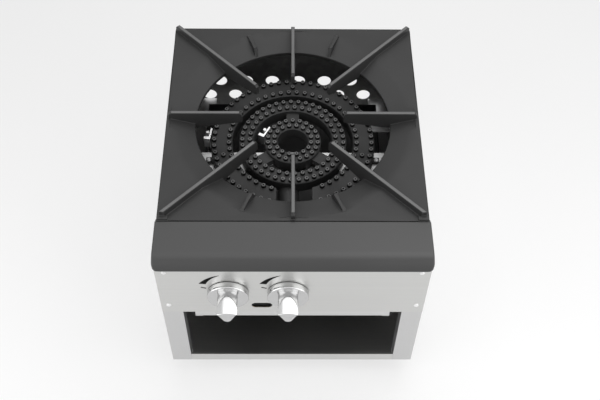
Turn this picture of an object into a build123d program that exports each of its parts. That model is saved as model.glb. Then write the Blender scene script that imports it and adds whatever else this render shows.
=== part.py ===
"""Low stock pot range: a three-ring cast burner under a square cast grate, two gas controls
on a sheet steel front, a crumb tray and an open storage shelf, on four screw feet.

Millimetres, +Z up, front towards -Y. While the pieces are drawn, x = y = 0 is the burner's
axis and z = 0 the floor. On export everything moves along Y, so that the origin lies on the
floor under the middle of the outer box.
"""
from build123d import *
from math import acos, atan2, copysign, cos, degrees, pi, radians, sin, sqrt
import os

# ---------------------------------------------------------------- driving dimensions
# body
body_width = 457.0
grate_depth = 457.0
top_height = 405.0          # top face of the grate's plate above the floor
foot_height = 50.0          # floor to the underside of the cabinet
sheet = 1.2                 # sides, back, shelf
panel_sheet = 1.5
bar_sheet = 1.5
tray_sheet = 1.0
fit_gap = 0.3               # between sheet edges that stand side by side
touch_gap = 0.05            # radial running fit of a shaft in its bore

# ledge in front of the grate
ledge_reach = 87.0          # grate's front edge to the nose
ledge_sheet = 2.0
ledge_height = 19.0
nose_radius = 30.0          # of the arc from the top down to the lower front edge
ledge_corner_radius = 10.0  # front corners, seen from above
ledge_inner_radius = 5.0
ledge_edge_radius = 2.5     # along the ends of the top
ledge_lip = 6.5             # return under the nose
ledge_end_gap = 0.5
ledge_tab_length = 12.0     # ends of the ledge, back beside the grate
ledge_tab_drop = 3.0        # top of the ledge to the tab's upper front corner
ledge_tab_height = 8.0      # at its back end
grate_gap = 1.0             # grate to ledge

# control panel
panel_setback = 7.0         # nose to panel face
panel_drop = 164.5          # grate top to the panel's lower edge
panel_top_gap = 1.0         # under the inside of the nose
panel_flange = 16.0
slot_length = 36.0
slot_height = 15.5
slot_x = -53.5

# side panels
post_width = 36.0
post_return = 22.0
rear_flange = 10.0
foot_flange = 30.0
grate_flange = 20.0
ledge_flange = 12.0

# back panel
vent_radius = 13.8
vent_pitch = 54.0
vent_count = 7
vent_drop = 145.0           # grate top to the upper row
vent_row_gap = 42.0
vent_stagger = 24.0
back_flange = 15.0

# shelf
rail_height = 23.0
rail_hem = 5.0
shelf_back_rise = 12.0

# crumb tray
tray_side_gap = 19.5        # post to tray
tray_back_gap = 45.0
tray_height = 24.0
tray_setback = 8.0          # panel face to tray face
tray_drop = 3.5             # panel's lower edge to the tray's rim
tray_hem = 7.0
runner_lap = 13.0           # how far a runner reaches under the tray
runner_rise = 16.0
runner_tongue = 16.0
runner_end_gap = 2.0        # clear of the back panel's screws

# grate
rim_height = 14.0
rim_wall = 7.0
plate_thickness = 8.0
bowl_margin = 5.2           # plate's edge to the conical ring's upper edge
bowl_run = 45.8             # upper to lower edge, level
bowl_drop = 14.0
bowl_wall = 7.0
bowl_lap = 1.5              # conical ring into the plate
fin_thickness = 7.0
fin_rise = 14.0             # pan supports above the plate
fin_inner_radius = 92.0
fin_tip_drop = 9.0
fin_root_drop = 24.0
fin_nose = 5.0
fin_edge_inset = 3.5
fin_sink = 2.0              # pan supports into the plate
fin_bearing = 4.0           # past the conical ring's lower edge
fin_chamfer = 1.2
corner_inset = 1.0
corner_foot_width = 18.0    # low feet at the two front corners
corner_foot_depth = 9.0
corner_foot_rise = 4.0
rib_angle = 22.5
rib_thickness = 7.0
rib_inset = 1.5             # from the conical ring's lower edge
rib_slope = 8.0
rib_rise = 4.0              # short ribs above the plate
rib_overrun = 3.0           # past the conical ring's upper edge
rib_nose = 3.0
rib_chamfer = 1.0
rib_sink = 4.0

# burner castings
burner_drop = 66.0          # grate top to the ring tops
ring_height = 24.0
ring_chamfer = 1.5
inner_ring = (28.5, 53.0)
middle_ring = (74.0, 100.5)
outer_ring = (113.0, 153.0)
gap_left, gap_right = -30.0, 35.0      # front gap of the outer ring
bridge_angles = (90.0, 215.0, 325.0)
bridge_width = 24.0
bridge_drop = 7.0
bridge_height = 12.0
bridge_lap = 2.0
nub_radius = 4.4
nub_top_radius = 2.9
nub_height = 5.0
nub_sides = 8
nub_inset = 6.2             # row to the edge of its ring
nub_pitch_inner = 13.3
nub_pitch_middle = 14.3
nub_pitch_outer = 15.6
single_nub_angles = (90.0, 196.0, 344.0)      # between the rows of the outer ring
mixer_radius = 19.0
mixer_bore = 14.5
throat_radius = 17.0
throat_length = 22.0        # mouth to throat
diffuser_length = 38.0      # throat to the straight run
mouth_radius = 23.0
mouth_length = 14.0
mouth_plate = 3.0
mouth_wall = 2.5
mixer_overrun = 5.0         # outer mixing tube, past the middle of its ring
burner_foot_radius = 7.0
ear_length = 9.0
ear_width = 12.0
ear_height = 5.0
ear_screw_offset = 3.5      # outer ring's edge to the screw

# cross bars under the burners
bar_drop = 95.0             # grate top to the middle bar's top
bar_width = 43.0
bar_front_y = -48.5
bar_flange = 12.0
mixer_bar_y = -155.0
mixer_bar_width = 30.0
mixer_bar_flange = 8.0
bar_tab = 22.0
rest_front_y = 47.0         # rest under the right of the outer ring
rest_width = 24.0

# rail under the joint of grate and ledge
cross_rail_depth = 28.0
cross_rail_front = 20.0
cross_rail_back = 12.0

# gas train
control_drop = 97.0         # grate top to the control axes
control_x = (-110.0, -8.0)  # outer ring's control, inner rings' control
stem_radius = 4.0
stem_flat = 2.4             # axis to flat
panel_bore = 6.5
valve_radius = 13.0
valve_length = 38.0
valve_setback = 22.5        # panel face to valve body
valve_taper_length = 8.0
valve_tail_radius = 9.0
bonnet_radius = 9.0
bonnet_length = 5.0
bonnet_taper = 3.0
stem_depth = 12.0           # bore for the stem in the valve
stem_end_gap = 0.5
branch_radius = 8.0         # valve to manifold
spud_radius = 5.5
spud_length = 20.0
spud_hex_radius = 6.7
spud_hex_length = 8.0
spud_reach = 6.0            # spud into the mouth
shutter_sheet = 1.5
shutter_rim = 8.0
shutter_hole = 8.0
shutter_tab_width = 8.0
shutter_tab_rise = 9.0
window_inner, window_outer = 11.0, 19.5
window_angle = 70.0
pipe_radius = 13.35         # three-quarter inch pipe
pipe_bore = 10.45
inlet_thread_radius = 13.0
inlet_thread_length = 19.0
inlet_chamfer = 1.0
manifold_drop = 141.0
manifold_overhang = 40.0    # past the outer control
boss_radius = 10.0
boss_height = 8.0
plug_length = 14.0
plug_collar = 4.0
plug_head = 10.0
plug_head_half = 7.3
supply_inset = 24.5         # side face to the supply pipe's axis
elbow_radius = 24.0
elbow_wall = 4.0
collar_length = 14.0
inlet_reach = 38.0          # rear face to the end of the inlet pipe
hanger_inset = 8.0          # from the manifold's closed end
hanger_right_x = 120.0
hanger_sheet = 2.0
hanger_width = 40.0
hanger_margin = 5.0         # round the manifold
hanger_neck = 12.0
hanger_neck_drop = 22.0
hanger_back_slope = 18.0
hanger_front_slope = 38.0

# pilots
pilot_spread = 8.0                               # pilot valves, each side of the slot's middle
pilot_ring_gap = (2.2, 1.7)                      # bracket to the ring inside it
pilot_angle = (172.4, 152.6)
pilot_tip_shift = (2.0, -6.0)                    # outward and along the ring, from the middle
bracket_foot_x = (-144.0, -40.0)
bracket_foot_front = (7.5, -8.0)                 # from the bar's middle
bracket_bend_gap = 2.0                           # behind the bar
pilot_tube_radius = 3.2
pilot_valve_radius = 6.0
pilot_valve_length = 18.0
pilot_bore_depth = 8.0
pilot_outlet_inset = 8.0    # valve front to its outlet
pilot_outlet_drop = 12.0
pilot_outlet_wall = 1.5
pilot_tip_height = 14.0
pilot_tip_radius = 4.4
pilot_tip_top_radius = 3.0
pilot_tip_straight = 8.4
pilot_screw_radius = 3.0
pilot_screw_proud = 1.5
pilot_screw_slot = 1.0
pilot_tip_drop = 74.0
tube_drop = 161.0
tube_run = 40.0             # manifold to the tube's turn
tube_bend = 12.0
tube_outlet_bend = 7.0
tube_straight = 4.0
bracket_sheet = 1.5
bracket_width = 12.0
bracket_length = 27.0
hood_rise = 3.0             # hood above the pilot tip
hood_lips = (3.0, 6.0)      # beside the tip and at the hood's end

# knobs
knob_skirt_radius = 35.3
knob_skirt = 11.0
skirt_edge = 2.0
skirt_back_edge = 0.5
knob_gap = 0.8
knob_reach = 49.5           # panel face to the knob's front
knob_wall = 11.0            # in front of the stem's bore
knob_flat_start = 2.2       # full bore at the back, before the flat
grip_width = 34.6
grip_crowns = (17.3, 14.0)  # above the knob's axis, at the skirt and at the front
grip_tips = (23.0, 18.0)    # below it
grip_shoulders = (0.0, 5.0)
grip_tip_half = 5.0
grip_tip_bow = 2.0
grip_sink = 1.0
grip_edge = 2.0
scoop_width = 7.0
scoop_depth = 6.0
scoop_floor = 5.0           # knob's axis to where the scoop starts, upward

# feet
foot_inset_x = 48.0
foot_inset_y = 60.0
foot_pad_radius = 19.0
foot_pad_edge = 1.5
foot_pad_height = 9.0
foot_neck_height = 22.0
foot_neck_radius = 11.0
foot_stud_radius = 6.0
foot_stud_end = 4.0         # stud's end below the cabinet's underside
socket_radius = 13.0
socket_plate = 3.0
socket_plate_size = 62.0

# screws
screw_radius = 2.0
screw_clearance = 0.1       # radial, shank in its hole
screw_head_radius = 4.2
screw_head_height = 2.2
screw_grip = 6.0
ledge_screw_grip = 8.0
shelf_screw_grip = 4.0
burner_screw_grip = 7.5
panel_screw_insets = (13.5, 15.5)      # side face to the lower and the upper screws
panel_screw_rise = 24.5
panel_screw_drop = 33.5
ledge_screw_setback = 45.0
ledge_screw_drop = 11.0
back_screw_rise = 40.0
back_screw_drop = 30.0
bar_screw_drop = 15.0
bar_screw_spread = 12.0
mixer_bar_screw_spread = 8.0
rest_screw_spread = 6.0
rail_screw_offset = 6.0
rail_screw_drop = 10.0
runner_screw_rise = 8.0
runner_screw_ends = (60.0, 40.0)       # from the post and from the back panel
shelf_screw_inset = 130.0

# ---------------------------------------------------------------- worked out from them
half = body_width / 2
inside = half - sheet
grate_front = -grate_depth / 2
back_y = grate_depth / 2
nose_y = grate_front - ledge_reach
panel_y = nose_y + panel_setback
post_y = panel_y + panel_sheet
ledge_back = grate_front - grate_gap
nose_run = sqrt(nose_radius ** 2 - (nose_radius - ledge_height) ** 2)
post_inner = half - post_width
inner_back = back_y - sheet
bowl_radius = min(half, back_y) - bowl_margin
hole_radius = bowl_radius - bowl_run

body_top = top_height - rim_height
ledge_under = top_height - ledge_sheet
panel_low = top_height - panel_drop
control_z = top_height - control_drop
burner_top = top_height - burner_drop
ring_low = burner_top - ring_height
bar_top = top_height - bar_drop
bar_back_y = bar_front_y + bar_width
bar_mid_y = (bar_front_y + bar_back_y) / 2
rest_y = rest_front_y + rest_width / 2
mixer_bar_top = control_z - mixer_radius
manifold_z = top_height - manifold_drop
tray_top = panel_low - tray_drop
tray_low = tray_top - tray_height
tray_span = post_inner - tray_side_gap
tray_front = panel_y + tray_setback
tray_back = inner_back - tray_back_gap

valve_front = panel_y + valve_setback
valve_back = valve_front + valve_length
manifold_y = (valve_front + valve_back) / 2
manifold_left = control_x[0] - manifold_overhang
supply_x = half - supply_inset
hanger_x = (manifold_left + hanger_inset, hanger_right_x)
boss_top = manifold_z + pipe_radius + boss_height
spud_end = valve_back + spud_length
mouth_y = spud_end - spud_reach
mixer_wall = mixer_radius - mixer_bore
knob_front = panel_y - knob_reach
inlet_end = back_y + inlet_reach
origin_y = (knob_front + inlet_end) / 2

pilot_valve_x = (slot_x - pilot_spread, slot_x + pilot_spread)
pilot_valve_front = manifold_y - pipe_radius - pilot_valve_length
pilot_radius = [ring[1] + gap + bracket_width / 2
                for ring, gap in zip((outer_ring, inner_ring), pilot_ring_gap)]

X, Y, Z = (1, 0, 0), (0, 1, 0), (0, 0, 1)
LEFTWARD, FORWARD, DOWN = (-1, 0, 0), (0, -1, 0), (0, 0, -1)
PAST = 1.0                  # how far a cut runs past the face it starts from


# ---------------------------------------------------------------- helpers
def block(xs, ys, zs):
    """Box between pairs of coordinates."""
    middle = [(low + high) / 2 for low, high in (xs, ys, zs)]
    return Pos(*middle) * Box(*[high - low for low, high in (xs, ys, zs)])


def rod(start, end, radius):
    """Round bar from one point to another."""
    run = Vector(*end) - Vector(*start)
    plane = Plane(origin=start, z_dir=run)
    return plane * Cylinder(radius, run.length, align=(Align.CENTER, Align.CENTER, Align.MIN))


def turned(profile, start, direction):
    """Solid of revolution: profile holds (radius, distance along the axis)."""
    outline = make_face(Polyline(*[(r, 0, s) for r, s in profile], close=True))
    return Plane(origin=start, z_dir=direction) * revolve(outline, Axis.Z, 360)


def fold(points, thickness):
    """Outline of a sheet folded along points, its thickness to the right of the walk."""
    steps = [Vector(*b) - Vector(*a) for a, b in zip(points, points[1:])]
    sides = [Vector(step.Y, -step.X).normalized() for step in steps]
    sides = [sides[0]] + sides + [sides[-1]]
    shifted = []
    for point, before, after in zip(points, sides, sides[1:]):
        shift = (before + after) * (thickness / (1 + before.dot(after)))
        shifted.append((point[0] + shift.X, point[1] + shift.Y))
    return list(points) + shifted[::-1]


def across_x(points, low, high):
    """Outline in (y, z), pulled along X."""
    face = make_face(Polyline(*[(0, y, z) for y, z in points], close=True))
    return Pos(low, 0, 0) * extrude(face, high - low, dir=X)


def along_y(points, low, high):
    """Outline in (x, z), pulled along Y."""
    face = make_face(Polyline(*[(x, 0, z) for x, z in points], close=True))
    return Pos(0, low, 0) * extrude(face, high - low, dir=Y)


def up_z(points, low, high):
    """Outline in (x, y), pulled along Z."""
    face = make_face(Polyline(*points, close=True))
    return Pos(0, 0, low) * extrude(face, high - low, dir=Z)


def screw(head_seat, direction, grip=screw_grip):
    """Pan-head screw whose head sits at head_seat and whose shank runs along direction."""
    r, top = screw_head_radius, -screw_head_height
    profile = [(0, top), (r * 0.6, top), (r, top * 0.5), (r, 0), (screw_radius, 0),
               (screw_radius, grip), (0, grip)]
    return turned(profile, head_seat, direction)


def screw_hole(head_seat, direction, grip=screw_grip):
    """Clearance hole for that screw."""
    end = Vector(*head_seat) + Vector(*direction) * (grip + PAST)
    start = Vector(*head_seat) - Vector(*direction) * PAST
    return rod(tuple(start), tuple(end), screw_radius + screw_clearance)


def both_sides(places):
    """The same places on the right and on the left."""
    return [(sign * x, y, z) for x, y, z in places for sign in (1, -1)]


def inward(x):
    """Direction along X from that side towards the middle."""
    return LEFTWARD if x > 0 else X


# ---------------------------------------------------------------- where screws go
panel_screw_places = [(half - panel_screw_insets[0], panel_y, panel_low + panel_screw_rise),
                      (half - panel_screw_insets[1], panel_y, top_height - panel_screw_drop)]
ledge_screw_places = [(half + ledge_end_gap + ledge_sheet, nose_y + ledge_screw_setback,
                       top_height - ledge_screw_drop)]
back_screw_places = [(half - rear_flange / 2, back_y, z) for z in
                     (foot_height + back_screw_rise, (foot_height + body_top) / 2,
                      body_top - back_screw_drop)]
bar_screw_places = [(half, bar_mid_y + shift, bar_top - bar_screw_drop)
                    for shift in (-bar_screw_spread, bar_screw_spread)]
mixer_bar_screw_places = [(half, mixer_bar_y + shift, mixer_bar_top - bar_screw_drop)
                          for shift in (-mixer_bar_screw_spread, mixer_bar_screw_spread)]
rest_screw_places = [(half, rest_y + shift, bar_top - bar_screw_drop)
                     for shift in (-rest_screw_spread, rest_screw_spread)]
rail_screw_places = [(half, grate_front - rail_screw_offset, body_top - rail_screw_drop)]
runner_front_screw_y = post_y + runner_screw_ends[0]
runner_back_screw_y = inner_back - runner_screw_ends[1]
runner_screw_places = [(half, y, tray_low + runner_screw_rise) for y in
                       (runner_front_screw_y, (runner_front_screw_y + runner_back_screw_y) / 2,
                        runner_back_screw_y)]
shelf_screw_places = [(half - foot_flange / 2, y, foot_height + 2 * sheet)
                      for y in (post_y + shelf_screw_inset, inner_back - shelf_screw_inset)]
side_screw_places = (bar_screw_places + mixer_bar_screw_places + rail_screw_places
                     + runner_screw_places)


def burner_screw_places():
    """Screws through the ears of the outer ring into the middle bar."""
    return both_sides([(outer_ring[1] + ear_screw_offset, bar_mid_y, bar_top + ear_height)])


def under_nose(y):
    """Height of the ledge's inner face above the line at y."""
    radius = nose_radius - ledge_sheet
    ahead = max(0.0, nose_y + nose_run - y)
    return top_height - nose_radius + sqrt(max(0.0, radius ** 2 - ahead ** 2))


# ---------------------------------------------------------------- cabinet
def side_panel():
    """Right side sheet: front corner post, rear flange and the flanges it carries things on."""
    plan = fold([(half - rear_flange, inner_back), (half, inner_back), (half, post_y),
                 (post_inner, post_y), (post_inner, post_y + post_return)], sheet)
    part = up_z(plan, foot_height, ledge_under)
    step_y = ledge_back - ledge_sheet - fit_gap
    part -= block((0, half + PAST), (step_y, back_y), (body_top, top_height))
    sheet_back = inner_back - sheet
    part += block((half - foot_flange, inside), (post_y + sheet, sheet_back),
                  (foot_height, foot_height + sheet))
    part += block((half - grate_flange, inside), (grate_front + cross_rail_depth, sheet_back),
                  (body_top - sheet, body_top))
    part += block((half - ledge_flange, inside), (post_y + sheet, step_y),
                  (ledge_under - sheet, ledge_under))
    part -= block((0, half + PAST), (post_y - PAST, nose_y + nose_run),
                  (under_nose(post_y) - fit_gap, top_height))
    for place in side_screw_places:
        part -= screw_hole(place, LEFTWARD)
    for place in ledge_screw_places:
        part -= screw_hole(place, LEFTWARD, ledge_screw_grip)
    for place in panel_screw_places:
        part -= screw_hole(place, Y)
    for place in back_screw_places:
        part -= screw_hole(place, FORWARD)
    for place in shelf_screw_places:
        part -= screw_hole(place, DOWN)
    return part


def right_side_panel():
    """Side sheet with the holes for the ring rest's screws."""
    part = side_panel()
    for place in rest_screw_places:
        part -= screw_hole(place, LEFTWARD)
    return part


def back_panel():
    """Rear sheet with two staggered rows of vents and the hole for the inlet pipe."""
    part = block((-half, half), (inner_back, back_y), (foot_height, body_top))
    flange = half - grate_flange - fit_gap
    part += block((-flange, flange), (inner_back - back_flange, inner_back),
                  (body_top - sheet, body_top))
    for row, shift in ((0, vent_stagger / 2), (1, -vent_stagger / 2)):
        z = top_height - vent_drop - row * vent_row_gap
        for i in range(vent_count):
            x = (i - (vent_count - 1) / 2) * vent_pitch + shift
            part -= rod((x, inner_back - PAST, z), (x, back_y + PAST, z), vent_radius)
    part -= rod((supply_x, inner_back - PAST, manifold_z), (supply_x, back_y + PAST, manifold_z),
                pipe_radius + fit_gap)
    for place in both_sides(back_screw_places):
        part -= screw_hole(place, FORWARD)
    return part


def control_panel():
    """Front sheet with the stem holes, the pilot slot and a stiffening flange along its top."""
    top = under_nose(panel_y) - panel_top_gap
    flange = post_inner - fit_gap
    part = block((-half, half), (panel_y, post_y), (panel_low, top))
    part += block((-flange, flange), (post_y, post_y + panel_flange), (top - panel_sheet, top))
    for x in control_x:
        part -= rod((x, panel_y - PAST, control_z), (x, post_y + PAST, control_z), panel_bore)
    slot = Plane(origin=(slot_x, post_y + PAST, manifold_z), x_dir=X, z_dir=FORWARD)
    part -= extrude(slot * SlotOverall(slot_length, slot_height), panel_sheet + 2 * PAST)
    for place in both_sides(panel_screw_places):
        part -= screw_hole(place, Y)
    return part


def front_ledge():
    """Cover in front of the grate with a broad round nose, open below, its ends closed."""
    width = half + ledge_end_gap + ledge_sheet
    low = top_height - ledge_height

    def nosed(inset, floor, corner):
        """The ledge's outline less inset, down to floor, its front corners rounded in plan."""
        radius, fore, middle = nose_radius - inset, nose_y + nose_run, top_height - nose_radius
        turn = acos((floor - middle) / radius)
        top, back = middle + radius, ledge_back - inset
        halfway = (fore - radius * sin(turn / 2), middle + radius * cos(turn / 2))
        front = fore - radius * sin(turn)
        outline = ThreePointArc((fore, top), halfway, (front, floor))
        outline += Polyline((front, floor), (back, floor), (back, top), (fore, top))
        body = extrude(Plane.YZ * make_face(outline), width - inset, both=True)
        plan = make_face(Polyline((inset - width, front), (width - inset, front),
                                  (width - inset, back), (inset - width, back), close=True))
        plan = fillet(plan.vertices().sort_by(Axis.Y)[:2], corner)
        return body & Pos(0, 0, floor) * extrude(plan, top - floor)

    part = nosed(0, low, ledge_corner_radius)
    rim = [edge for edge in part.edges() if edge.center().Z > low + PAST
           and edge.center().Y < ledge_back - PAST and abs(edge.center().X) > width / 2
           and edge.bounding_box().size.Y > PAST]
    part = fillet(rim, ledge_edge_radius)
    part -= nosed(ledge_sheet, low + ledge_sheet, ledge_inner_radius)
    part -= block((-width + ledge_sheet, width - ledge_sheet),
                  (nose_y + ledge_lip, ledge_back - ledge_sheet), (low - PAST, low + 2 * ledge_sheet))
    part -= block((-width - PAST, width + PAST), (ledge_back - ledge_sheet - PAST, ledge_back + PAST),
                  (low - PAST, body_top))
    start, end = ledge_back - 2 * ledge_sheet, ledge_back + ledge_tab_length
    tab = [(start, low), (end, low), (end, low + ledge_tab_height),
           (ledge_back, top_height - ledge_tab_drop), (start, top_height - ledge_tab_drop)]
    part += across_x(tab, width - ledge_sheet, width)
    part += across_x(tab, -width, ledge_sheet - width)
    for place in both_sides(ledge_screw_places):
        part -= screw_hole(place, inward(place[0]), ledge_screw_grip)
    return part


def front_cross_rail():
    """Channel across the body under the joint of the grate and the ledge."""
    front = grate_front - cross_rail_depth / 2
    back = grate_front + cross_rail_depth / 2
    section = fold([(front, body_top - cross_rail_front), (front, body_top),
                    (back, body_top), (back, body_top - cross_rail_back)], bar_sheet)
    part = across_x(section, -inside, inside)
    for side in (-1, 1):
        part += block(sorted((side * inside, side * (inside - bar_sheet))),
                      (front + bar_sheet, back - bar_sheet),
                      (body_top - cross_rail_front, body_top - bar_sheet))
    for place in both_sides(rail_screw_places):
        part -= screw_hole(place, inward(place[0]))
    return part


def bottom_shelf():
    """Storage shelf: hemmed rail between the posts, floor, and a turned-up rear edge."""
    floor = foot_height + 2 * sheet
    back = inner_back - sheet
    rail = foot_height + rail_height
    section = fold([(post_y, foot_height), (post_y, rail), (post_y + rail_hem, rail),
                    (post_y + rail_hem, floor), (back, floor), (back, floor + shelf_back_rise)], sheet)
    edge = inside - fit_gap
    part = across_x(section, -edge, edge)
    for side in (-1, 1):
        outer = side * (half + PAST)
        part -= block(sorted((side * (post_inner - fit_gap), outer)),
                      (post_y - PAST, post_y + post_return + fit_gap), (0, top_height))
        part -= block(sorted((side * (half - rear_flange - fit_gap), outer)),
                      (back - fit_gap, back_y), (0, top_height))
    for place in both_sides(shelf_screw_places):
        part -= screw_hole(place, DOWN)
    return part


def crumb_tray():
    """Shallow open tray with a hem turned in along its front rim."""
    body = block((-tray_span, tray_span), (tray_front, tray_back), (tray_low, tray_top))
    part = offset(body, -tray_sheet, openings=body.faces().sort_by(Axis.Z)[-1],
                  kind=Kind.INTERSECTION)
    part += block((-tray_span, tray_span), (tray_front, tray_front + tray_hem),
                  (tray_top - tray_sheet, tray_top))
    return part


def right_tray_runner():
    """Angle on the side panel that the tray slides on, with a mitred tongue beside the post."""
    inner = tray_span - runner_lap
    top = tray_low - fit_gap
    start = post_y + post_return + fit_gap
    end = back_y - screw_grip - runner_end_gap
    tongue = post_inner - fit_gap
    tongue_y = start - runner_tongue
    plan = [(inner, tongue_y), (tray_span, tongue_y), (tongue, tongue_y + tongue - tray_span),
            (tongue, start), (inside, start), (inside, end), (inner, end)]
    part = up_z(plan, top - sheet, top)
    part += block((inside - sheet, inside), (start, end), (top, top + runner_rise))
    for place in runner_screw_places:
        part -= screw_hole(place, LEFTWARD)
    return part


def cross_bar(front, width, top, flange, places):
    """Channel that crosses the body, with an end tab screwed to each side panel."""
    x = inside
    part = along_y(fold([(-x, top - bar_tab), (-x, top), (x, top), (x, top - bar_tab)], bar_sheet),
                   front, front + width)
    for y in (front, front + width - bar_sheet):
        part += block((-x, x), (y, y + bar_sheet), (top - flange, top))
    for place in both_sides(places):
        part -= screw_hole(place, inward(place[0]))
    return part


def burner_cross_bar():
    """Middle bar that carries the rings, with the holes for the outer ring's screws."""
    part = cross_bar(bar_front_y, bar_width, bar_top, bar_flange, bar_screw_places)
    for place in burner_screw_places():
        part -= screw_hole(place, DOWN, burner_screw_grip)
    return part


def mixer_cross_bar():
    """Front bar that the mixing tubes lie on."""
    return cross_bar(mixer_bar_y - mixer_bar_width / 2, mixer_bar_width, mixer_bar_top,
                     mixer_bar_flange, mixer_bar_screw_places)


def ring_rest_foot():
    """Where the outer ring stands on its rest."""
    return sqrt((sum(outer_ring) / 2) ** 2 - rest_y ** 2), rest_y


def ring_rest():
    """Angle on the right side panel that the outer ring stands on."""
    inner = ring_rest_foot()[0] - burner_foot_radius
    section = fold([(inner, bar_top), (inside, bar_top), (inside, bar_top - bar_tab)], bar_sheet)
    part = along_y(section, rest_front_y, rest_front_y + rest_width)
    for place in rest_screw_places:
        part -= screw_hole(place, LEFTWARD)
    return part


# ---------------------------------------------------------------- grate
def top_grate():
    """Square cast grate: rimmed plate, conical ring, eight pan supports and four short ribs."""
    z = top_height
    part = block((-half, half), (grate_front, back_y), (z - plate_thickness, z))
    rim = block((-half, half), (grate_front, back_y), (z - rim_height, z))
    rim -= block((-half + rim_wall, half - rim_wall), (grate_front + rim_wall, back_y - rim_wall),
                 (z - rim_height - PAST, z + PAST))
    part -= Pos(0, 0, z - plate_thickness) * Cylinder(bowl_radius, 4 * plate_thickness)
    low, lap = bowl_drop + bowl_wall, bowl_radius + bowl_lap
    cone = turned([(bowl_radius, 0), (hole_radius, -bowl_drop), (hole_radius, -low),
                   (hole_radius + bowl_wall, -low), (lap, -plate_thickness), (lap, 0)], (0, 0, z), Z)
    part += [rim, cone]
    corner = (min(half, back_y) - corner_inset) * sqrt(2) - fin_thickness / 2
    fins = [(side, half - fin_edge_inset) for side in (0, 180)]
    fins += [(side, back_y - fin_edge_inset) for side in (90, 270)]
    fins += [(side, corner) for side in (45, 135, 225, 315)]
    part += [Rot(0, 0, angle) * pan_support(reach) for angle, reach in fins]
    part += [Rot(0, 0, side + turn) * short_rib() for side in (90, 270)
             for turn in (-rib_angle, rib_angle)]
    for side in (-1, 1):
        xs = sorted((side * (half - corner_inset), side * (half - corner_inset - corner_foot_width)))
        ys = (grate_front + corner_inset, grate_front + corner_foot_depth)
        part -= block(xs, (grate_front, ys[1]), (z + corner_foot_rise, z + fin_rise + PAST))
        part += block(xs, ys, (z - fin_sink, z + corner_foot_rise))
    return part


def pan_support(reach):
    """Upright web along +X: level top, rounded ends, underside rising towards its inner tip."""
    z, r = top_height, fin_inner_radius
    outline = [(r, z - fin_tip_drop), (r, z + fin_rise - fin_nose), (r + fin_nose, z + fin_rise),
               (reach - fin_nose, z + fin_rise), (reach, z + fin_rise - fin_nose),
               (reach, z - fin_sink), (bowl_radius, z - fin_sink),
               (hole_radius + bowl_wall, z - fin_root_drop),
               (hole_radius - fin_bearing, z - fin_root_drop)]
    web = along_y(outline, -fin_thickness / 2, fin_thickness / 2)
    return chamfer(web.faces().sort_by(Axis.Z)[-1].edges(), fin_chamfer)


def short_rib():
    """Low rib across the conical ring, rising a little above the plate."""
    z = top_height
    inner, outer = hole_radius + rib_inset, bowl_radius + rib_overrun
    outline = [(inner, z - bowl_drop - rib_sink), (inner, z - bowl_drop),
               (inner + rib_slope, z + rib_rise), (outer - rib_nose, z + rib_rise),
               (outer, z + rib_rise - rib_nose), (outer, z - rib_sink)]
    web = along_y(outline, -rib_thickness / 2, rib_thickness / 2)
    return chamfer(web.faces().sort_by(Axis.Z)[-1].edges(), rib_chamfer)


# ---------------------------------------------------------------- burners
def cast_ring(radii):
    """Burner ring with chamfered edges."""
    r_in, r_out = radii
    c, top, low = ring_chamfer, burner_top, ring_low
    return turned([(r_in, low), (r_in, top - c), (r_in + c, top), (r_out - c, top),
                   (r_out, top - c), (r_out, low)], (0, 0, 0), Z)


def port_nub(x, y):
    """Small tapered boss on a ring's top."""
    taper = degrees(atan2(nub_radius - nub_top_radius, nub_height))
    return Pos(x, y, burner_top) * extrude(RegularPolygon(nub_radius, nub_sides), nub_height,
                                           taper=taper)


def nub_rows(radii, pitch, keep=lambda x, y: True):
    """Port nubs in two rows, one near each edge of a ring."""
    nubs = []
    for radius in (radii[0] + nub_inset, radii[1] - nub_inset):
        count = round(2 * pi * radius / pitch)
        for i in range(count):
            angle = 2 * pi * (i + 0.5) / count
            x, y = radius * cos(angle), radius * sin(angle)
            if keep(x, y):
                nubs.append(port_nub(x, y))
    return nubs


def mixer(x, end):
    """Mixing tube: windowed mouth plate, wide mouth, throat, and a straight run to the ring."""
    run = end - mouth_y
    throat = mouth_length + throat_length
    straight = throat + diffuser_length
    mouth_bore = mouth_radius - mouth_wall
    outer = [(0, 0), (mouth_radius, 0), (mouth_radius, mouth_length), (throat_radius, throat),
             (mixer_radius, straight), (mixer_radius, run), (0, run)]
    bore = [(0, mouth_plate), (mouth_bore, mouth_plate), (mouth_bore, mouth_length),
            (throat_radius - mixer_wall, throat), (mixer_bore, straight),
            (mixer_bore, run - mixer_wall), (0, run - mixer_wall)]
    start = (x, mouth_y, control_z)
    return turned(outer, start, Y), turned(bore, start, Y) + air_windows(x, mouth_y, mouth_plate)


def air_windows(x, y, depth):
    """Two curved windows and a middle hole, cut through a plate of that depth."""
    plane = Plane(origin=(x, y - PAST, control_z), x_dir=X, z_dir=Y)
    reach = 2 * window_outer
    edges = [(reach * cos(radians(a)), reach * sin(radians(a)))
             for a in (-window_angle / 2, window_angle / 2)]
    wedge = make_face(Polyline((0, 0), *edges, close=True))
    window = (Circle(window_outer) - Circle(window_inner)) & wedge
    cuts = Sketch() + window + Rot(0, 0, 180) * window + Circle(shutter_hole)
    return extrude(plane * cuts, depth + 2 * PAST)


def burner_foot(x, y):
    """Round pad between a ring and what carries it."""
    return rod((x, y, bar_top), (x, y, ring_low + PAST), burner_foot_radius)


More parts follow.
